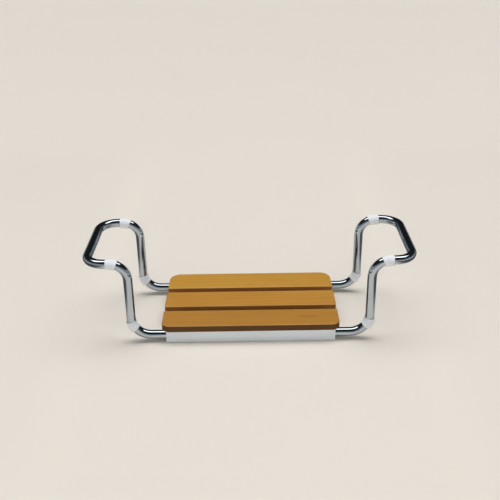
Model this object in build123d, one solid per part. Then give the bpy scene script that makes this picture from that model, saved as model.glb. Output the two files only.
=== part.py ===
from build123d import *
import math
import os

# Bath transfer seat: three wooden slats on two steel channels, hung inside a bath from
# two bent tube hoops. The hoops telescope in the channels to suit the bath's width.
# Millimetres. X runs across the bath, Y from front to back, Z up. Z = 0 is the
# underside of the channels, and X = Y = 0 is the middle of the seat.

# Slats
SLAT_LENGTH = 400
FRONT_WIDTH = 69
MIDDLE_WIDTH = 70
REAR_WIDTH = 75
SLAT_GAP = 19
SLAT_THICKNESS = 16
FRONT_CORNER = 18      # plan radius at the seat's two front corners
REAR_CORNER = 28       # plan radius at its two rear corners
SLAT_CORNER = 2.5      # plan radius at every other slat corner
TOP_ROUNDING = 2.2
BOTTOM_CHAMFER = 1.0

# Channels, which are rectangular tubes
CHANNEL_SPACING = 222  # between their centre lines, and between the legs of a hoop
CHANNEL_LENGTH = 380
CHANNEL_WIDTH = 24
CHANNEL_HEIGHT = 29
CHANNEL_WALL = 1.2
CHANNEL_CORNER = 1.8

# Hoops
TUBE_RADIUS = 10
TUBE_WALL = 1.5
DROP = 179             # from the tube's axis on the rim down to its axis in the channel
LEG_X = 267            # axis of the upright legs
HOOP_X = 358           # axis of the outer bar
TUBE_END_X = 60        # inner end of each leg, inside the channel
TUBE_RAISED = 1.5      # how far the tube runs above the channel's middle
TOP_BEND = 39
LOW_BEND = 44
PLAN_BEND = 42

# Pads that keep the tube off the bath
PAD_LENGTH = 22
PAD_RADIUS = 12.1
PAD_OFFSET = 1.3       # how far the pad's outside is shifted towards the bath
RIM_PAD_STRAIGHT = 6   # stretch of the rim pad that lies on the straight tube
RIM_SOLE = 13.0        # from the tube's axis down to the rim pad's flat sole
WALL_PAD_START = 10    # degrees of the low bend above the wall pad

# Cross bars under the slats, pressed as upside-down channels
BAR_X = 113
BAR_WIDTH = 30
BAR_DEPTH = 12
BAR_WALL = 2
BAR_ROUNDING = 3
WELD_LEG = 2.5
WELD_LENGTH = 8
WELD_LIFT = 0.5        # from the cross bar's lower edge up to the bead

# Wood screws, two in each slat at each cross bar
SCREW_RADIUS = 2.0
SCREW_SHANK = 10
SCREW_POINT = 2.5
SCREW_HEAD_RADIUS = 4.0
SCREW_HEAD_HEIGHT = 2.4
RECESS_WIDTH = 0.9
RECESS_DEPTH = 1.2
FRONT_SCREW_Y = (-87, -68)
MIDDLE_SCREW_Y = (-20, 14)
REAR_SCREW_Y = (67, 87)
PILOT_GAP = 0.05
BAR_HOLE_GAP = 0.3

# Clamps that lock the hoops
CLAMP_X = 155
CLAMP_RADIUS = 3.0
CLAMP_HOLE_GAP = 0.3
CLAMP_THREAD_GAP = 0.05
CLAMP_TIP_GAP = 0.1    # between the screw's tip and the tube
CLAMP_TIP_CHAMFER = 0.6
NUT_FLATS = 10
NUT_HEIGHT = 5
KNOB_RADIUS = 11
KNOB_THICKNESS = 11
KNOB_STANDOFF = 4      # between the nut and the knob
KNOB_LOBES = 6
SCALLOP_RADIUS = 4.2
SCALLOP_CENTRE = 13.6
KNOB_ROUNDING = 1.2
KNOB_SCREW_DEPTH = 8

# End bushes in the channels, and plugs in the tubes' inner ends
BUSH_DEPTH = 16
BUSH_BORE_GAP = 0.08
BUSH_SEAT_GAP = 0.05
PLUG_FLANGE = 1.5
PLUG_DEPTH = 9
PLUG_WALL = 1.5
PLUG_GAP = 0.05

SIDES = {"left": -1, "right": 1}
ENDS = {"front": -1, "rear": 1}
UPWARDS = (Align.CENTER, Align.CENTER, Align.MIN)
DOWNWARDS = (Align.CENTER, Align.CENTER, Align.MAX)
FAR = 600              # longer than any piece, for cutting right through

seat_depth = FRONT_WIDTH + MIDDLE_WIDTH + REAR_WIDTH + 2 * SLAT_GAP
slat_base_z = CHANNEL_HEIGHT
seat_axis_z = CHANNEL_HEIGHT / 2 + TUBE_RAISED
rim_axis_z = seat_axis_z + DROP
leg_y = CHANNEL_SPACING / 2
inner_face = leg_y - CHANNEL_WIDTH / 2
screw_ys = FRONT_SCREW_Y + MIDDLE_SCREW_Y + REAR_SCREW_Y


def slat(front_y, width, front_radius, rear_radius):
    """A slat along X, from front_y back, with the plan radius of its front corners and rear ones."""
    blank = Box(SLAT_LENGTH, width, SLAT_THICKNESS, align=UPWARDS)
    blank = fillet(blank.edges().filter_by(Axis.Z).group_by(Axis.Y)[0], front_radius)
    blank = fillet(blank.edges().filter_by(Axis.Z).group_by(Axis.Y)[-1], rear_radius)
    blank = fillet(blank.faces().sort_by(Axis.Z)[-1].edges(), TOP_ROUNDING)
    blank = chamfer(blank.faces().sort_by(Axis.Z)[0].edges(), BOTTOM_CHAMFER)
    blank = Pos(0, front_y + width / 2, slat_base_z) * blank
    pilot_depth = SCREW_SHANK + SCREW_POINT - BAR_WALL + PILOT_GAP
    pilot = Cylinder(SCREW_RADIUS + PILOT_GAP, pilot_depth, align=UPWARDS)
    for side in SIDES.values():
        for screw_y in screw_ys:
            blank -= Pos(side * BAR_X, screw_y, slat_base_z) * pilot
    return blank


def channel(end):
    """A rectangular tube along X, drilled in its inner wall for the two clamp screws."""
    outside = RectangleRounded(CHANNEL_WIDTH, CHANNEL_HEIGHT, CHANNEL_CORNER)
    inside = RectangleRounded(
        CHANNEL_WIDTH - 2 * CHANNEL_WALL,
        CHANNEL_HEIGHT - 2 * CHANNEL_WALL,
        CHANNEL_CORNER - CHANNEL_WALL,
    )
    body = extrude(Plane.YZ * (outside - inside), CHANNEL_LENGTH / 2, both=True)
    body = Pos(0, end * leg_y, CHANNEL_HEIGHT / 2) * body
    hole = Rot(90, 0, 0) * Cylinder(CLAMP_RADIUS + CLAMP_HOLE_GAP, CHANNEL_WALL * 4)
    for side in SIDES.values():
        body -= Pos(side * CLAMP_X, end * inner_face, seat_axis_z) * hole
    return body


def cross_bar(side):
    """A pressed bar from one channel to the other, open underneath."""
    outside = Rectangle(BAR_WIDTH, BAR_DEPTH, align=(Align.CENTER, Align.MAX))
    outside = fillet(outside.vertices().group_by(Axis.Y)[-1], BAR_ROUNDING)
    inside = Pos(0, -BAR_WALL) * Rectangle(
        BAR_WIDTH - 2 * BAR_WALL, BAR_DEPTH, align=(Align.CENTER, Align.MAX)
    )
    inside = fillet(inside.vertices().group_by(Axis.Y)[-1], BAR_ROUNDING - BAR_WALL)
    bar = extrude(Plane.XZ * (outside - inside), inner_face, both=True)
    bar = Pos(side * BAR_X, 0, slat_base_z) * bar
    hole = Cylinder(SCREW_RADIUS + BAR_HOLE_GAP, BAR_WALL * 4)
    for y in screw_ys:
        bar -= Pos(side * BAR_X, y, slat_base_z) * hole
    return bar


def bar_welds():
    """Fillet welds down both sides of each cross bar's ends."""
    beads = []
    for bar_x in (-BAR_X, BAR_X):
        for flank in (-1, 1):
            for end in ENDS.values():
                x = bar_x + flank * BAR_WIDTH / 2
                y = end * inner_face
                section = Polyline(
                    (x, y), (x + flank * WELD_LEG, y), (x, y - end * WELD_LEG), close=True
                )
                bead = extrude(make_face(section), WELD_LENGTH)
                beads.append(Pos(0, 0, slat_base_z - BAR_DEPTH + WELD_LIFT) * bead)
    return Compound(children=beads)


def wood_screw():
    """A pan-head screw, with z = 0 under its head and its point upwards."""
    head = Cylinder(SCREW_HEAD_RADIUS, SCREW_HEAD_HEIGHT, align=DOWNWARDS)
    head = fillet(head.faces().sort_by(Axis.Z)[0].edges(), SCREW_HEAD_HEIGHT / 2)
    slot = Box(SCREW_HEAD_RADIUS, RECESS_WIDTH, RECESS_DEPTH * 2)
    recess = slot + Rot(0, 0, 90) * slot
    head -= Pos(0, 0, -SCREW_HEAD_HEIGHT) * recess
    shank = Cylinder(SCREW_RADIUS, SCREW_SHANK, align=UPWARDS)
    point = Pos(0, 0, SCREW_SHANK) * Cone(SCREW_RADIUS, SCREW_RADIUS / 5, SCREW_POINT, align=UPWARDS)
    return head + shank + point


def slat_screws(side):
    """The six screws through one cross bar."""
    places = [Pos(side * BAR_X, y, slat_base_z - BAR_WALL) for y in screw_ys]
    return Compound(children=[place * wood_screw() for place in places])


def end_bush(side, end):
    """A block inside the channel's end, bored to guide the hoop's tube."""
    block = Box(
        BUSH_DEPTH,
        CHANNEL_WIDTH - 2 * (CHANNEL_WALL + BUSH_SEAT_GAP),
        CHANNEL_HEIGHT - 2 * (CHANNEL_WALL + BUSH_SEAT_GAP),
    )
    block = fillet(block.edges().filter_by(Axis.X), CHANNEL_CORNER - CHANNEL_WALL)
    bore = Rot(0, 90, 0) * Cylinder(TUBE_RADIUS + BUSH_BORE_GAP, FAR)
    block -= Pos(0, 0, TUBE_RAISED) * bore
    return Pos(side * (CHANNEL_LENGTH - BUSH_DEPTH) / 2, end * leg_y, CHANNEL_HEIGHT / 2) * block


def hoop_tube(side):
    """One bent tube: out of the front channel, up, over the rim, and back to the rear channel."""
    corners = [
        (TUBE_END_X, seat_axis_z),
        (LEG_X, seat_axis_z),
        (LEG_X, rim_axis_z),
        (HOOP_X, rim_axis_z),
    ]
    front = [(side * x, -leg_y, z) for x, z in corners]
    rear = [(side * x, leg_y, z) for x, z in reversed(corners)]
    bends = [LOW_BEND, TOP_BEND, PLAN_BEND]
    path = FilletPolyline(*front, *rear, radius=bends + bends[::-1])
    start = Plane(origin=path @ 0, z_dir=path % 0)
    return sweep(start * (Circle(TUBE_RADIUS) - Circle(TUBE_RADIUS - TUBE_WALL)), path=path)


def tube_plugs(side):
    """The plugs in the two inner ends of a hoop's tube."""
    stem_radius = TUBE_RADIUS - TUBE_WALL - PLUG_GAP
    plug = Cylinder(TUBE_RADIUS, PLUG_FLANGE, align=DOWNWARDS)
    plug += Cylinder(stem_radius, PLUG_DEPTH, align=UPWARDS)
    plug -= Pos(0, 0, PLUG_WALL) * Cylinder(stem_radius - PLUG_WALL, PLUG_DEPTH, align=UPWARDS)
    plug = Rot(0, side * 90, 0) * plug
    return Compound(
        children=[Pos(side * TUBE_END_X, end * leg_y, seat_axis_z) * plug for end in ENDS.values()]
    )


def pad_ring(offset):
    """Section of a pad: its bore is the tube, and its outside is shifted by offset."""
    return Pos(offset, 0) * Circle(PAD_RADIUS) - Circle(TUBE_RADIUS)


def pad_on_bend(radius, first_angle, last_angle, offset):
    """Part of a pad round a bend in the XZ plane, centred on the origin. Angles go from +X to +Z."""
    ring = Pos(radius, 0) * pad_ring(offset)
    turned = revolve(ring, Axis.Y, revolution_arc=last_angle - first_angle)
    return Rot(0, -last_angle, 0) * turned


def mirrored_pad(piece, side, end):
    """Places a pad made for the right-hand front corner."""
    if side < 0:
        piece = mirror(piece, Plane.YZ)
    return Pos(0, end * leg_y, 0) * piece


def wall_pad(side, end):
    """The pad on the outside of a low bend, which bears on the bath's inner wall."""
    last = -WALL_PAD_START
    first = last - math.degrees(PAD_LENGTH / LOW_BEND)
    piece = pad_on_bend(LOW_BEND, first, last, PAD_OFFSET)
    return mirrored_pad(Pos(LEG_X - LOW_BEND, 0, seat_axis_z + LOW_BEND) * piece, side, end)


def rim_pad(side, end):
    """The pad at the top of an upper bend, which stands on the bath's rim on a flat sole."""
    bend_angle = math.degrees((PAD_LENGTH - RIM_PAD_STRAIGHT) / TOP_BEND)
    piece = pad_on_bend(TOP_BEND, 90, 90 + bend_angle, -PAD_OFFSET)
    straight_start = Plane(origin=(0, 0, TOP_BEND), x_dir=(0, 0, 1), z_dir=(1, 0, 0))
    piece += extrude(straight_start * pad_ring(-PAD_OFFSET), RIM_PAD_STRAIGHT)
    piece -= Pos(0, 0, TOP_BEND - RIM_SOLE) * Box(FAR, FAR, TOP_BEND, align=DOWNWARDS)
    return mirrored_pad(Pos(LEG_X + TOP_BEND, 0, rim_axis_z - TOP_BEND) * piece, side, end)


def at_clamp(side, end, along, piece):
    """Turns a piece made along +Z to point from the channel's inner face to mid-seat."""
    turn = Rot(90, 0, 0) if end > 0 else Rot(-90, 0, 0)
    return Pos(side * CLAMP_X, end * (inner_face - along), seat_axis_z) * turn * piece


def clamp_nut(side, end):
    blank = extrude(RegularPolygon(NUT_FLATS / 2, 6, major_radius=False), NUT_HEIGHT)
    blank -= Cylinder(CLAMP_RADIUS + CLAMP_THREAD_GAP, FAR)
    return at_clamp(side, end, 0, blank)


def clamp_screw(side, end):
    """A set screw from the tube's surface to inside the knob."""
    reach_in = CHANNEL_WIDTH / 2 - TUBE_RADIUS - CLAMP_TIP_GAP
    reach_out = NUT_HEIGHT + KNOB_STANDOFF + KNOB_SCREW_DEPTH
    shank = Cylinder(CLAMP_RADIUS, reach_in + reach_out, align=UPWARDS)
    shank = chamfer(shank.faces().sort_by(Axis.Z)[0].edges(), CLAMP_TIP_CHAMFER)
    return at_clamp(side, end, -reach_in, shank)


def clamp_knob(side, end):
    """A lobed hand knob on the end of the clamp screw."""
    blank = Cylinder(KNOB_RADIUS, KNOB_THICKNESS, align=UPWARDS)
    scallop = Pos(SCALLOP_CENTRE, 0, 0) * Cylinder(SCALLOP_RADIUS, FAR)
    for lobe in range(KNOB_LOBES):
        blank -= Rot(0, 0, (lobe + 0.5) * 360 / KNOB_LOBES) * scallop
    blank = fillet(blank.faces().sort_by(Axis.Z)[-1].edges(), KNOB_ROUNDING)
    blank -= Cylinder(CLAMP_RADIUS + CLAMP_THREAD_GAP, KNOB_SCREW_DEPTH + PILOT_GAP, align=UPWARDS)
    return at_clamp(side, end, NUT_HEIGHT + KNOB_STANDOFF, blank)


def all_parts():
    """Every node's shape by name."""
    front_y = -seat_depth / 2
    middle_y = front_y + FRONT_WIDTH + SLAT_GAP
    rear_y = middle_y + MIDDLE_WIDTH + SLAT_GAP
    parts = {
        "slat_front": slat(front_y, FRONT_WIDTH, FRONT_CORNER, SLAT_CORNER),
        "slat_middle": slat(middle_y, MIDDLE_WIDTH, SLAT_CORNER, SLAT_CORNER),
        "slat_rear": slat(rear_y, REAR_WIDTH, SLAT_CORNER, REAR_CORNER),
        "cross_bar_welds": bar_welds(),
    }
    for side_name, side in SIDES.items():
        parts[f"cross_bar_{side_name}"] = cross_bar(side)
        parts[f"slat_screws_{side_name}"] = slat_screws(side)
        parts[f"hoop_tube_{side_name}"] = hoop_tube(side)
        parts[f"tube_plugs_{side_name}"] = tube_plugs(side)
    corner_pieces = {
        "end_bush": end_bush,
        "rim_pad": rim_pad,
        "wall_pad": wall_pad,
        "clamp_nut": clamp_nut,
        "clamp_screw": clamp_screw,
        "clamp_knob": clamp_knob,
    }
    for end_name, end in ENDS.items():
        parts[f"channel_{end_name}"] = channel(end)
        for side_name, side in SIDES.items():
            for piece_name, make in corner_pieces.items():
                parts[f"{piece_name}_{end_name}_{side_name}"] = make(side, end)
    return parts


os.makedirs("parts", exist_ok=True)
for name, shape in all_parts().items():
    export_step(shape, f"parts/{name}.step")
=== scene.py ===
import bpy
import bmesh
import math
from mathutils import Matrix, Vector


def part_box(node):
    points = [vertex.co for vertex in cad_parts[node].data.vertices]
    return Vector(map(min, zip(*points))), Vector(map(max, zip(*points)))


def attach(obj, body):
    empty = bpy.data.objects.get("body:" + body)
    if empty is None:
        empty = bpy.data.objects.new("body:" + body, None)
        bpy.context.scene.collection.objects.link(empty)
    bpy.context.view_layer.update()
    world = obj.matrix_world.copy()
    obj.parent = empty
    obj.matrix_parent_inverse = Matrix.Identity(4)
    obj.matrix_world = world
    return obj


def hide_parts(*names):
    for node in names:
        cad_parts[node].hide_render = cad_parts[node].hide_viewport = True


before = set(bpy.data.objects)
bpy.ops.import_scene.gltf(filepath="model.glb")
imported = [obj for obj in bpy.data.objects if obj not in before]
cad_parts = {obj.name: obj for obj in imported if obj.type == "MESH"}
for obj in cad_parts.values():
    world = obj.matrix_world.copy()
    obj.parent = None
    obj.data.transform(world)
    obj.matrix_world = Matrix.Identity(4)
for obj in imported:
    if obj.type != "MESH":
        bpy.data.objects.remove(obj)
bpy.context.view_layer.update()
scene = bpy.context.scene
mm = 0.001
sides = {"left": -1, "right": 1}
ends = {"front": -1, "rear": 1}


class Sock:
    # an output socket that can be used in plain arithmetic
    def __init__(self, tree, socket):
        self.tree = tree
        self.socket = socket

    def maths(self, operation, *values):
        node = self.tree.nodes.new("ShaderNodeMath")
        node.operation = operation
        for place, value in enumerate(values):
            if isinstance(value, Sock):
                self.tree.links.new(value.socket, node.inputs[place])
            else:
                node.inputs[place].default_value = value
        return Sock(self.tree, node.outputs[0])

    def __add__(self, other):
        return self.maths("ADD", self, other)

    def __radd__(self, other):
        return self.maths("ADD", other, self)

    def __sub__(self, other):
        return self.maths("SUBTRACT", self, other)

    def __rsub__(self, other):
        return self.maths("SUBTRACT", other, self)

    def __mul__(self, other):
        return self.maths("MULTIPLY", self, other)

    def __rmul__(self, other):
        return self.maths("MULTIPLY", other, self)

    def __abs__(self):
        return self.maths("ABSOLUTE", self)


class NodeSheet:
    # one node tree under construction, every node through make
    def __init__(self, tree):
        self.tree = tree
        self.tree.nodes.clear()

    def make(self, kind, settings=None, inputs=None, output=0):
        # its settings first, then the values or links of its sockets; several outputs come as a list
        node = self.tree.nodes.new("ShaderNode" + kind)
        for key, value in (settings or {}).items():
            if key == "stops":
                self.setStops(node.color_ramp, value)
            else:
                setattr(node, key, value)
        for key, value in (inputs or {}).items():
            if isinstance(value, Sock):
                self.tree.links.new(value.socket, node.inputs[key])
            else:
                node.inputs[key].default_value = value
        if output is None:
            return None
        if isinstance(output, tuple):
            return [Sock(self.tree, node.outputs[which]) for which in output]
        return Sock(self.tree, node.outputs[output])

    def setStops(self, ramp, stops):
        while len(ramp.elements) < len(stops):
            ramp.elements.new(1.0)
        for element, (position, colour) in zip(ramp.elements, stops):
            element.position = position
            element.color = (*colour, 1.0)

    def fade(self, value, low, high):
        # smooth step from 0 to 1 while value goes from low to high
        return self.make("MapRange", {"interpolation_type": "SMOOTHSTEP"}, {
            "Value": value, "From Min": low, "From Max": high})

    def blend(self, factor, first, second):
        # mixes two colours, on the Mix node's colour sockets
        return self.make("Mix", {"data_type": "RGBA"}, {
            0: factor, 6: colour4(first), 7: colour4(second)}, output=2)

    def split(self, vector):
        return self.make("SeparateXYZ", None, {"Vector": vector}, output=(0, 1, 2))


class Finish(NodeSheet):
    # one material under construction
    def __init__(self, name):
        self.material = bpy.data.materials.new(name)
        self.material.use_nodes = True
        super().__init__(self.material.node_tree)
        self.place = self.make("TexCoord", output="Object")

    def stretch(self, scale, shift=(0, 0, 0)):
        return self.make("Mapping", None, {"Vector": self.place, "Location": shift, "Scale": scale})

    def noise(self, vector, scale, detail=3.0, roughness=0.5, distortion=0.0):
        return self.make("TexNoise", None, {
            "Vector": vector, "Scale": scale, "Detail": detail,
            "Roughness": roughness, "Distortion": distortion})

    def bump(self, height, strength, distance, under=None):
        inputs = {"Height": height, "Strength": strength, "Distance": distance}
        if under is not None:
            inputs["Normal"] = under
        return self.make("Bump", None, inputs)

    def done(self, inputs):
        surface = self.make("BsdfPrincipled", None, inputs)
        self.make("OutputMaterial", None, {"Surface": surface}, output=None)
        return self.material


def colour4(value):
    return value if isinstance(value, Sock) else (*value, 1.0)


slatGrain = {
    "fine": (3.0, 170.0, 170.0), "bands": (0.9, 26.0, 40.0), "cloud": (7.0, 16.0, 16.0),
    "figure": (0.16, 1.0, 1.0), "pores": (38.0, 1300.0, 1300.0), "streaks": (1.6, 95.0, 60.0),
    "endDots": (40.0, 900.0, 900.0), "poreDepth": 0.22, "underDepth": 0.35,
    "highlightWidth": 3.0 * mm, "highlightInset": 0.8 * mm, "highlightDrop": 1.2 * mm,
    "wallShadeFrom": 0.8 * mm, "wallShadeTo": 1.9 * mm, "endFrom": 0.9 * mm, "endTo": 0.1 * mm,
    "underFrom": 1.6 * mm, "underTo": 0.3 * mm}


def slatWood(name, look):
    # straight-grained honey wood under a thin satin lacquer, grain along X
    f = Finish(name)
    g = slatGrain
    shift = look["shift"]
    fine = f.noise(f.stretch(g["fine"], shift), 1.0, 7.0, 0.62)
    bands = f.noise(f.stretch(g["bands"], shift), 1.0, 3.0, 0.5, 0.4)
    cloud = f.noise(f.stretch(g["cloud"], shift), 1.0, 4.0, 0.55, 0.3)
    figure = f.make("TexWave", {"wave_type": "BANDS", "bands_direction": "Y", "wave_profile": "SIN"}, {
        "Vector": f.stretch(g["figure"], shift), "Scale": look["figureScale"],
        "Distortion": 7.0, "Detail": 3.0, "Detail Scale": 1.4, "Detail Roughness": 0.6}, output=1)
    pores = f.fade(f.noise(f.stretch(g["pores"], shift), 1.0, 2.0), 0.60, 0.72)
    streaks = f.fade(f.noise(f.stretch(g["streaks"], shift), 1.0, 4.0, 0.55, 0.25), 0.58, 0.74)
    grain = fine * 0.40 + bands * 0.22 + figure * 0.10 + cloud * 0.28
    body = f.make("ValToRGB", {"stops": [
        (0.30, look["dark"]), (0.50, look["middle"]), (0.70, look["light"])]}, {"Fac": grain})
    body = f.blend(streaks * look["streakDepth"], body, look["streak"])
    body = f.blend(pores * g["poreDepth"], body, look["streak"])
    along, across, height = f.split(f.place)
    low, high = look["box"]
    if "mark" in look:
        # a short dark flame in the grain
        mark = look["mark"]
        aside = (along - mark["x"]) * (1 / mark["length"])
        over = (across - mark["y"]) * (1 / mark["width"]) + (fine - 0.5) * 2.2 + (bands - 0.5) * 1.6
        flame = f.fade(aside * aside + over * over, 1.0, 0.1)
        body = f.blend(flame * mark["depth"], body, look["streak"])
    # painted highlight: the rounded long top edges are painted lighter, where they would catch the light
    halfWidth = (high[1] - low[1]) / 2
    fromMiddle = abs(across - (low[1] + high[1]) / 2)
    rim = f.fade(fromMiddle, halfWidth - g["highlightWidth"], halfWidth - g["highlightInset"])
    rim = rim * f.fade(height, high[2] - g["highlightWidth"], high[2] - g["highlightDrop"])
    body = f.blend(rim * (0.30 + 0.30 * fine), body, look["edge"])
    # painted shade: the side walls are painted darker, the front slat's most, standing in for the shade on
    # faces turned from the light
    wallTilt = f.split(f.make("TexCoord", output="Normal"))[2]
    wall = f.fade(abs(wallTilt), 0.80, 0.35)
    wall = wall * f.fade(height, high[2] - g["wallShadeFrom"], high[2] - g["wallShadeTo"])
    body = f.blend(wall * (0.86 + 0.12 * fine), body, look["wallShadeTone"])
    # end grain shows the pores as dots
    endGrain = f.fade(abs(along), high[0] - g["endFrom"], high[0] - g["endTo"])
    dots = f.noise(f.stretch(g["endDots"], shift), 1.0, 3.0)
    body = f.blend(endGrain * (0.30 + 0.35 * dots), body, look["endGrain"])
    # the underside was left barer
    under = f.fade(height, low[2] + g["underFrom"], low[2] + g["underTo"])
    body = f.blend(under * g["underDepth"], body, look["underside"])
    sheen = 0.40 + 0.16 * fine + 0.10 * pores + 0.14 * under + 0.10 * endGrain + 0.16 * wall
    relief = f.bump(fine - 0.8 * pores, 0.12, 0.22 * mm)
    relief = f.bump(bands, 0.05, 1.0 * mm, relief)
    return f.done({"Base Color": body, "Roughness": sheen, "Normal": relief,
                   "Coat Weight": 0.10 - 0.06 * under - 0.08 * wall,
                   "Coat Roughness": 0.25, "Specular IOR Level": 0.30})


chromeLook = {"clear": (0.525, 0.585, 0.630), "hazed": (0.490, 0.550, 0.600), "rim": (0.10, 0.11, 0.12, 1.0),
              "rough": 0.012, "spotSize": 95.0}


def tubeChrome(look):
    # polished plate, with dried water spots and handling haze
    f = Finish("tubeChrome")
    haze = f.noise(f.place, 16.0, 4.0, 0.6, 0.6)
    fineHaze = f.noise(f.place, 140.0, 3.0)
    spots = f.make("TexVoronoi", {"feature": "F1"}, {
        "Vector": f.place, "Scale": look["spotSize"], "Randomness": 1.0})
    ringMarks = f.fade(abs(spots - 0.24), 0.05, 0.015) * f.fade(haze, 0.52, 0.66)
    tint = f.blend(f.fade(haze, 0.40, 0.70), look["clear"], look["hazed"])
    rough = look["rough"] + 0.030 * haze + 0.012 * fineHaze + 0.05 * ringMarks
    relief = f.bump(f.noise(f.place, 34.0, 2.0), 0.018, 0.6 * mm)
    relief = f.bump(fineHaze, 0.012, 0.05 * mm, relief)
    return f.done({"Base Color": tint, "Metallic": 1.0, "Roughness": rough, "Normal": relief,
                   "Specular Tint": look["rim"]})


channelLook = {"dark": (0.735, 0.795, 0.845), "light": (0.81, 0.865, 0.91), "scuffed": (0.82, 0.84, 0.86),
               "brush": (5.0, 1100.0, 1100.0), "scuffs": (60.0, 420.0, 420.0), "rough": 0.36, "metal": 0.50}


def channelMetal(look):
    # satin anodised aluminium, brushed along its length
    f = Finish("channelMetal")
    brush = f.noise(f.stretch(look["brush"]), 1.0, 4.0, 0.6)
    cloud = f.noise(f.place, 22.0, 3.0)
    scuffs = f.fade(f.noise(f.stretch(look["scuffs"]), 1.0, 4.0, 0.7, 0.5), 0.66, 0.76)
    tint = f.blend(brush * 0.6 + cloud * 0.4, look["dark"], look["light"])
    tint = f.blend(scuffs * 0.25, tint, look["scuffed"])
    rough = look["rough"] + 0.14 * brush + 0.06 * cloud + 0.08 * scuffs
    return f.done({"Base Color": tint, "Metallic": look["metal"] + 0.08 * cloud, "Roughness": rough,
                   "Normal": f.bump(brush, 0.07, 0.05 * mm)})


enamelLook = {"dark": (0.24, 0.25, 0.26), "light": (0.33, 0.34, 0.35), "chipped": (0.13, 0.12, 0.115),
              "peelSize": 620.0, "rough": 0.34}


def barEnamel(look):
    # grey stove enamel with an orange-peel skin and a few chips
    f = Finish("barEnamel")
    peel = f.noise(f.place, look["peelSize"], 2.0)
    cloud = f.noise(f.place, 30.0, 4.0)
    chips = f.fade(f.noise(f.place, 130.0, 5.0, 0.6, 0.8), 0.69, 0.72)
    tint = f.blend(cloud, look["dark"], look["light"])
    tint = f.blend(chips * 0.7, tint, look["chipped"])
    return f.done({"Base Color": tint, "Roughness": look["rough"] + 0.14 * cloud + 0.3 * chips,
                   "Normal": f.bump(peel - 1.5 * chips, 0.12, 0.15 * mm)})


weldLook = {"dark": (0.20, 0.21, 0.22), "light": (0.36, 0.365, 0.37), "rough": 0.38}


def weldMetal(look):
    # the same enamel over the beads, thinner on their crests
    f = Finish("weldMetal")
    cloud = f.noise(f.place, 260.0, 5.0, 0.65)
    spatter = f.fade(f.noise(f.place, 520.0, 3.0), 0.60, 0.70)
    tint = f.blend(cloud, look["dark"], look["light"])
    return f.done({"Base Color": tint, "Roughness": look["rough"] + 0.2 * cloud, "Metallic": 0.35 * spatter,
                   "Normal": f.bump(cloud + spatter, 0.3, 0.2 * mm)})


padLook = {"handled": (0.81, 0.845, 0.885), "clean": (0.86, 0.885, 0.915), "flow": (120.0, 30.0, 120.0),
           "rough": 0.46}


def padWhite(look):
    # white moulding, a little greyed where it is handled
    f = Finish("padWhite")
    skin = f.noise(f.place, 900.0, 3.0, 0.6)
    cloud = f.noise(f.place, 55.0, 4.0, 0.55, 0.4)
    flow = f.noise(f.stretch(look["flow"]), 1.0, 3.0)
    tint = f.blend(0.6 * cloud + 0.4 * flow, look["handled"], look["clean"])
    return f.done({"Base Color": tint, "Roughness": look["rough"] + 0.14 * cloud + 0.06 * skin,
                   "Normal": f.bump(skin, 0.10, 0.10 * mm, f.bump(flow, 0.05, 0.5 * mm))})


def mouldedPlastic(name, look):
    # spark-textured moulding
    f = Finish(name)
    spark = f.noise(f.place, look["grain"], 4.0, 0.7)
    cloud = f.noise(f.place, 70.0, 3.0)
    rubbed = f.fade(f.noise(f.place, 240.0, 4.0, 0.6, 0.5), 0.62, 0.74)
    tint = f.blend(cloud, look["dark"], look["light"])
    tint = f.blend(rubbed * 0.3, tint, look["rubbed"])
    return f.done({"Base Color": tint, "Roughness": look["rough"] + 0.14 * spark - 0.10 * rubbed,
                   "Normal": f.bump(spark, look["depth"], 0.12 * mm)})


def zincPlate(name, look):
    # blue-white zinc with the cloudy patches of a tumbled batch
    f = Finish(name)
    cloud = f.noise(f.place, 160.0, 4.0, 0.55, 0.7)
    grit = f.noise(f.place, 1500.0, 2.0)
    bloom = f.fade(f.noise(f.place, 90.0, 5.0, 0.6), 0.58, 0.72)
    tint = f.blend(cloud, look["dark"], look["light"])
    tint = f.blend(bloom * 0.35, tint, look["bloom"])
    rough = look["rough"] + 0.18 * cloud + 0.2 * bloom
    return f.done({"Base Color": tint, "Metallic": 1.0 - 0.4 * bloom, "Roughness": rough,
                   "Normal": f.bump(grit + 0.5 * cloud, 0.08, 0.06 * mm)})


# the edge colour in each look is a painted highlight on the rounded top edges
# the side-wall colour in each look is painted shade, darkest on the front slat
slatLooks = {
    "slat_front": {
        "shift": (0.31, 4.10, 1.70), "figureScale": 30.0, "streakDepth": 0.20,
        "dark": (0.385, 0.172, 0.028), "middle": (0.435, 0.202, 0.034), "light": (0.490, 0.238, 0.043),
        "streak": (0.250, 0.092, 0.016), "edge": (0.560, 0.315, 0.105), "wallShadeTone": (0.078, 0.030, 0.005),
        "endGrain": (0.150, 0.062, 0.018), "underside": (0.47, 0.27, 0.11),
        "mark": {"x": 0.128, "y": -0.0915, "length": 0.030, "width": 0.0042, "depth": 0.55}},
    "slat_middle": {
        "shift": (1.77, 9.35, 6.20), "figureScale": 24.0, "streakDepth": 0.17,
        "dark": (0.430, 0.196, 0.030), "middle": (0.484, 0.228, 0.036), "light": (0.540, 0.262, 0.046),
        "streak": (0.280, 0.106, 0.018), "edge": (0.590, 0.330, 0.110), "wallShadeTone": (0.310, 0.112, 0.021),
        "endGrain": (0.160, 0.066, 0.018), "underside": (0.48, 0.28, 0.12)},
    "slat_rear": {
        "shift": (3.05, 2.45, 3.90), "figureScale": 20.0, "streakDepth": 0.12,
        "dark": (0.470, 0.234, 0.034), "middle": (0.520, 0.268, 0.041), "light": (0.570, 0.300, 0.052),
        "streak": (0.330, 0.140, 0.022), "edge": (0.620, 0.355, 0.125), "wallShadeTone": (0.335, 0.124, 0.024),
        "endGrain": (0.175, 0.074, 0.020), "underside": (0.50, 0.30, 0.13)},
}
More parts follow.
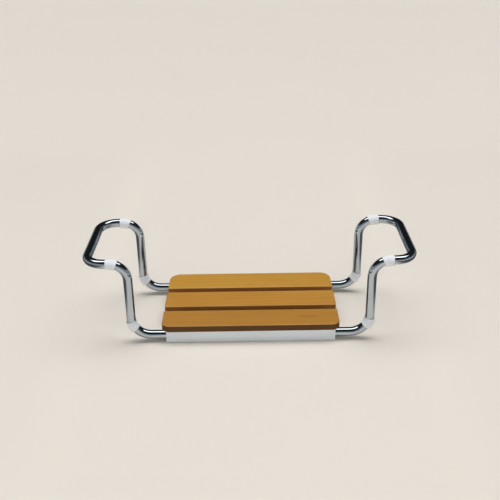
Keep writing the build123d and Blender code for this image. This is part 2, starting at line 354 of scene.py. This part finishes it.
plasticLooks = {
    "knobPlastic": {"grain": 1100.0, "dark": (0.020, 0.020, 0.022), "light": (0.034, 0.034, 0.037),
                    "rubbed": (0.075, 0.075, 0.078), "rough": 0.42, "depth": 0.22},
    "bushPlastic": {"grain": 800.0, "dark": (0.085, 0.086, 0.090), "light": (0.120, 0.121, 0.126),
                    "rubbed": (0.20, 0.20, 0.205), "rough": 0.40, "depth": 0.12},
    "plugPlastic": {"grain": 900.0, "dark": (0.022, 0.022, 0.024), "light": (0.036, 0.036, 0.038),
                    "rubbed": (0.07, 0.07, 0.07), "rough": 0.45, "depth": 0.12},
}
zincLooks = {
    "nutSteel": {"dark": (0.42, 0.42, 0.41), "light": (0.55, 0.55, 0.53),
                 "bloom": (0.66, 0.66, 0.63), "rough": 0.34},
    "screwSteel": {"dark": (0.47, 0.48, 0.48), "light": (0.60, 0.605, 0.60),
                   "bloom": (0.70, 0.70, 0.68), "rough": 0.26},
}
chrome = tubeChrome(chromeLook)
channelSatin = channelMetal(channelLook)
enamel = barEnamel(enamelLook)
weldSkin = weldMetal(weldLook)
whitePad = padWhite(padLook)
knobBlack, bushGrey, plugBlack = (mouldedPlastic(name, look) for name, look in plasticLooks.items())
nutZinc, screwZinc = (zincPlate(name, look) for name, look in zincLooks.items())
print("finishes mixed:", len(bpy.data.materials))


def dress(node, material):
    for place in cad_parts[node].material_slots:
        place.material = material


for node, look in slatLooks.items():
    look["box"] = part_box(node)
    dress(node, slatWood(node.replace("slat_", "slatWood_"), look))
    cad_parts[node].visible_glossy = False  # keeps the polished legs free of wood colour
for side in sides:
    dress(f"hoop_tube_{side}", chrome)
    dress(f"tube_plugs_{side}", plugBlack)
    dress(f"cross_bar_{side}", enamel)
    dress(f"slat_screws_{side}", screwZinc)
for end in ends:
    dress(f"channel_{end}", channelSatin)
    for side in sides:
        dress(f"end_bush_{end}_{side}", bushGrey)
        dress(f"clamp_nut_{end}_{side}", nutZinc)
        dress(f"clamp_knob_{end}_{side}", knobBlack)
print("CAD nodes dressed")


def newPiece(name, points, faces, material, body, slotName, *stoodFor):
    mesh = bpy.data.meshes.new(name)
    mesh.from_pydata([Vector(p) * mm for p in points], [], faces)
    mesh.validate()
    shape = bmesh.new()
    shape.from_mesh(mesh)
    bmesh.ops.recalc_face_normals(shape, faces=shape.faces)
    shape.to_mesh(mesh)
    shape.free()
    for face in mesh.polygons:
        face.use_smooth = True
    piece = bpy.data.objects.new(name, mesh)
    scene.collection.objects.link(piece)
    mesh.materials.append(material)
    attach(piece, body)
    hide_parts(*stoodFor)


def ringFaces(count, around, joined):
    # faces between rings of points: the last ring joins the first, or both ends are capped
    faces = []
    for r in range(count if joined else count - 1):
        after = (r + 1) % count
        for c in range(around):
            beside = (c + 1) % around
            faces.append((r * around + c, r * around + beside, after * around + beside, after * around + c))
    if not joined:
        faces.append(tuple(range(around)))
        faces.append(tuple((count - 1) * around + c for c in reversed(range(around))))
    return faces


pad = {"bore": 10.03, "outside": 12.1, "shift": 1.3, "lip": 1.1, "boreLip": 0.25, "length": 22.0,
       "lipShare": 0.55, "legY": 111.0, "around": 96, "along": 40, "boreStep": 4}
wallPadRun = {"centre": (223.0, 60.0), "bend": 44.0, "firstAngle": -10.0, "straight": 0.0, "thickSide": 1}
rimPadRun = {"centre": (306.0, 156.0), "bend": 39.0, "straight": 6.0, "thickSide": -1, "sole": 182.0}


def padStation(run, s):
    # point on the tube's axis, direction away from the bend's centre, s along the pad
    turn = (pad["length"] - run["straight"]) / run["bend"]
    if run["thickSide"] > 0:
        angle = math.radians(run["firstAngle"]) - s / run["bend"]
    else:
        angle = math.pi / 2 + max(turn - s / run["bend"], 0.0)
    outward = Vector((math.cos(angle), 0, math.sin(angle)))
    beyond = max(s - turn * run["bend"], 0.0)
    centre = Vector((run["centre"][0], 0, run["centre"][1]))
    return centre + outward * run["bend"] + Vector((beyond, 0, 0)), outward


def padRing(run, s, outerSkin):
    # one ring of the sleeve, on its outside or in its bore
    axisPoint, outward = padStation(run, s)
    thick = outward * run["thickSide"]
    fromEnd = max(min(s, pad["length"] - s), 0.0)
    ring = []
    for step in range(pad["around"]):
        angle = 2 * math.pi * step / pad["around"]
        direction = thick * math.cos(angle) + Vector((0, 1, 0)) * math.sin(angle)
        if not outerSkin:
            flare = pad["boreLip"] * max(1 - fromEnd / pad["boreLip"], 0.0)
            ring.append(axisPoint + direction * (pad["bore"] + flare))
            continue
        drop = 0.0
        if fromEnd < pad["lip"]:
            drop = pad["lip"] * (1 - math.sqrt(max(1 - (1 - fromEnd / pad["lip"]) ** 2, 0.0)))
        reach = direction.dot(thick) * pad["shift"]
        wall = reach + math.sqrt(pad["outside"] ** 2 - pad["shift"] ** 2 + reach ** 2) - pad["bore"]
        wall -= min(drop, wall * pad["lipShare"])
        ring.append(axisPoint + direction * (pad["bore"] + wall))
    return ring


def padSleeve(name, run, sideSign, endSign, body, node):
    # a sleeve with rounded lips, thicker towards the bath, and a flat sole on the rim pads
    along = pad["along"]
    stations = [pad["length"] * (0.5 - 0.5 * math.cos(math.pi * n / along)) for n in range(along + 1)]
    rings = [padRing(run, s, True) for s in stations]
    rings += [padRing(run, s, False) for s in reversed(stations[::pad["boreStep"]])]
    placed = []
    for p in (p for ring in rings for p in ring):
        z = max(p.z, run["sole"]) if "sole" in run else p.z
        placed.append((sideSign * p.x, endSign * pad["legY"] + p.y, z))
    faces = ringFaces(len(rings), pad["around"], True)
    newPiece(name, placed, faces, whitePad, body, "pad_white", node)


for side, sideSign in sides.items():
    for end, endSign in ends.items():
        corner, hoop = f"{end}_{side}", f"hoop_{side}"
        padSleeve(f"wallPad_{corner}", wallPadRun, sideSign, endSign, hoop, f"wall_pad_{corner}")
        padSleeve(f"rimPad_{corner}", rimPadRun, sideSign, endSign, hoop, f"rim_pad_{corner}")
print("pads moulded")

weld = {"leg": 2.4, "ripple": 0.32, "pitch": 1.25, "bottom": 17.6, "top": 25.4, "steps": 52, "arc": 10,
        "sag": 0.22, "crown": 0.5, "tuck": 0.02, "endSwell": 0.05,
        "barX": 113.0, "barHalf": 15.0, "wallY": 99.0}


def weldBead(x, y, flank, inward):
    # a rippled fillet down the corner between a cross bar and a channel
    points = []
    height = weld["top"] - weld["bottom"]
    for n in range(weld["steps"] + 1):
        t = n / weld["steps"]
        swell = max(1 - (2 * t - 1) ** 8, weld["endSwell"]) ** 0.5
        ripple = weld["ripple"] * abs(math.sin(math.pi * t * height / weld["pitch"]))
        reach = (weld["leg"] - ripple) * swell
        z = weld["bottom"] + height * t
        points.append((x - flank * weld["tuck"], y - inward * weld["tuck"], z))
        for a in range(weld["arc"] + 1):
            angle = math.pi / 2 * a / weld["arc"]
            bulge = math.sin(2 * angle)
            out = reach * (1 - weld["sag"] * bulge)
            points.append((x + flank * out * math.cos(angle), y + inward * out * math.sin(angle),
                           z + weld["crown"] * (bulge - 0.5)))
    return points, ringFaces(weld["steps"] + 1, weld["arc"] + 2, False)


beadPoints, beadFaces = [], []
for barX in (-weld["barX"], weld["barX"]):
    for flank in (-1, 1):
        for endSign in ends.values():
            points, faces = weldBead(barX + flank * weld["barHalf"], endSign * weld["wallY"], flank, -endSign)
            start = len(beadPoints)
            beadPoints += points
            beadFaces += [tuple(start + i for i in face) for face in faces]
newPiece("barWelds", beadPoints, beadFaces, weldSkin, "seat", "weld_metal", "cross_bar_welds")
print("welds laid")

thread = {"crest": 2.96, "root": 2.46, "pitch": 1.0, "start": 100.9, "finish": 82.0,
          "around": 32, "perTurn": 8, "x": 155.0, "z": 16.0,
          "tip": 1.6, "tipRadius": 1.86, "tipSlope": 0.8, "toothTop": 1.25, "toothSlope": 3.2}


def threadedRod(name, sideSign, endSign, body, node):
    # a set screw with a true helical thread and a coned tip
    length = thread["start"] - thread["finish"]
    steps = int(length * thread["perTurn"] / thread["pitch"])
    around = thread["around"]
    points = []
    for n in range(steps + 1):
        along = length * n / steps
        for c in range(around):
            turn = c / around
            phase = (along / thread["pitch"] - turn) % 1.0
            tooth = min(max(thread["toothTop"] - abs(phase - 0.5) * thread["toothSlope"], 0.0), 1.0)
            radius = thread["root"] + (thread["crest"] - thread["root"]) * tooth
            if along < thread["tip"]:
                radius = min(radius, thread["tipRadius"] + along * thread["tipSlope"])
            points.append((sideSign * thread["x"] + radius * math.cos(2 * math.pi * turn),
                           endSign * (thread["start"] - along),
                           thread["z"] - endSign * radius * math.sin(2 * math.pi * turn)))
    newPiece(name, points, ringFaces(steps + 1, around, False), screwZinc, body, "screw_steel", node)


for side, sideSign in sides.items():
    for end, endSign in ends.items():
        corner = f"{end}_{side}"
        threadedRod(f"clampThread_{corner}", sideSign, endSign, f"screw_{corner}", f"clamp_screw_{corner}")
print("clamp threads cut")


studio = {"floorHalf": 9.0, "topPower": 1.17, "topSpread": 48.0, "topTilt": (-17.0, 4.0),
          "fillPower": 0.9, "fillSpread": 70.0, "fillTilt": (52.0, -8.0),
          "wallGlow": (0.31, 0.325, 0.34), "ceiling": (0.020, 0.021, 0.023), "wallTop": (0.24, 0.33),
          "backDrop": 0.10, "panelGlow": (2.5, 2.5, 2.5), "panelBack": 0.12, "panelDepth": (0.25, 0.20),
          "panelWidth": (0.66, 0.56), "panelRise": (0.2, 0.3)}
floorLook = {"dark": (0.790, 0.735, 0.660), "light": (0.815, 0.760, 0.685), "rough": 0.62}
flag = {"inner": 0.355, "outer": 1.8, "halfDepth": 1.2, "fade": 0.14, "lift": 0.0004,
        "pale": (0.800, 0.745, 0.670), "dark": (0.10, 0.11, 0.12), "rough": 0.80}


def floorFinish(look):
    # pale warm floor, all but even
    f = Finish("studioFloor")
    tint = f.blend(f.noise(f.place, 1.3, 3.0), look["dark"], look["light"])
    return f.done({"Base Color": tint, "Roughness": look["rough"],
                   "Normal": f.bump(f.noise(f.place, 60.0), 0.02, 1.0 * mm)})


def flagFinish():
    # floor colour at the inner edge, going dark outwards
    f = Finish("flagCloth")
    dim = f.fade(abs(f.split(f.place)[0]), flag["inner"], flag["inner"] + flag["fade"])
    return f.done({"Base Color": f.blend(dim, flag["pale"], flag["dark"]), "Roughness": flag["rough"]})


def laidSheet(name, x0, x1, depth, z, material):
    mesh = bpy.data.meshes.new(name)
    mesh.from_pydata([(x0, -depth, z), (x1, -depth, z), (x1, depth, z), (x0, depth, z)], [], [(0, 1, 2, 3)])
    mesh.materials.append(material)
    sheet = bpy.data.objects.new(name, mesh)
    scene.collection.objects.link(sheet)
    return sheet


half = studio["floorHalf"]
laidSheet("studioFloor", -half, half, half, 0, floorFinish(floorLook))
# dark cloths beside the seat, seen only in the polished tube
flagCloth = flagFinish()
for side, sideSign in sides.items():
    reach = sorted((sideSign * flag["inner"], sideSign * flag["outer"]))
    cloth = laidSheet(f"flagCloth_{side}", *reach, flag["halfDepth"], flag["lift"], flagCloth)
    cloth.visible_camera = False
    cloth.visible_diffuse = False
    cloth.visible_shadow = False


def softLight(name, power, spread, tilt):
    lamp = bpy.data.lights.new(name, "SUN")
    lamp.energy = power
    lamp.angle = math.radians(spread)
    stand = bpy.data.objects.new(name, lamp)
    stand.rotation_euler = (math.radians(tilt[0]), math.radians(tilt[1]), 0)
    stand.visible_glossy = False
    scene.collection.objects.link(stand)


softLight("overheadLight", studio["topPower"], studio["topSpread"], studio["topTilt"])
softLight("frontFill", studio["fillPower"], studio["fillSpread"], studio["fillTilt"])

# a pale wall all round, lower at the back, up to a dark ceiling with one long bright panel
world = bpy.data.worlds.new("studioRoom")
world.use_nodes = True
room = NodeSheet(world.node_tree)
across, depth, rise = room.split(room.make("TexCoord", output="Generated"))
stops = list(zip(studio["wallTop"], (studio["wallGlow"], studio["ceiling"])))
shell = room.make("ValToRGB", {"stops": stops}, {"Fac": rise + studio["backDrop"] * depth})
panel = room.fade(abs(depth - studio["panelBack"]), *studio["panelDepth"])
panel = panel * room.fade(abs(across), *studio["panelWidth"]) * room.fade(rise, *studio["panelRise"])
glow = room.blend(panel, shell, studio["panelGlow"])
room.make("OutputWorld", None, {"Surface": room.make("Background", None, {"Color": glow})}, output=None)
scene.world = world
scene.view_settings.view_transform = "Standard"
print("studio lit")

view = {"pitch": 25.71, "roll": -0.84, "place": (1.0, -1579.0, 930.6), "focal": 760.0,
        "frameWidth": 500.0, "sensor": 36.0}


def standCamera():
    pitch, roll = math.radians(view["pitch"]), math.radians(view["roll"])
    forward = Vector((0, math.cos(pitch), -math.sin(pitch)))
    right = Vector((1, 0, 0))
    up = right.cross(forward)
    rolledRight = right * math.cos(roll) + up * math.sin(roll)
    rolledUp = up * math.cos(roll) - right * math.sin(roll)
    lens = bpy.data.cameras.new("camera")
    lens.sensor_width = view["sensor"]
    lens.lens = view["focal"] * view["sensor"] / view["frameWidth"]
    camera = bpy.data.objects.new("camera", lens)
    turn = Matrix((rolledRight, rolledUp, -forward)).transposed()
    camera.matrix_world = Matrix.Translation(Vector(view["place"]) * mm) @ turn.to_4x4()
    scene.collection.objects.link(camera)
    scene.camera = camera


standCamera()
print("camera placed")
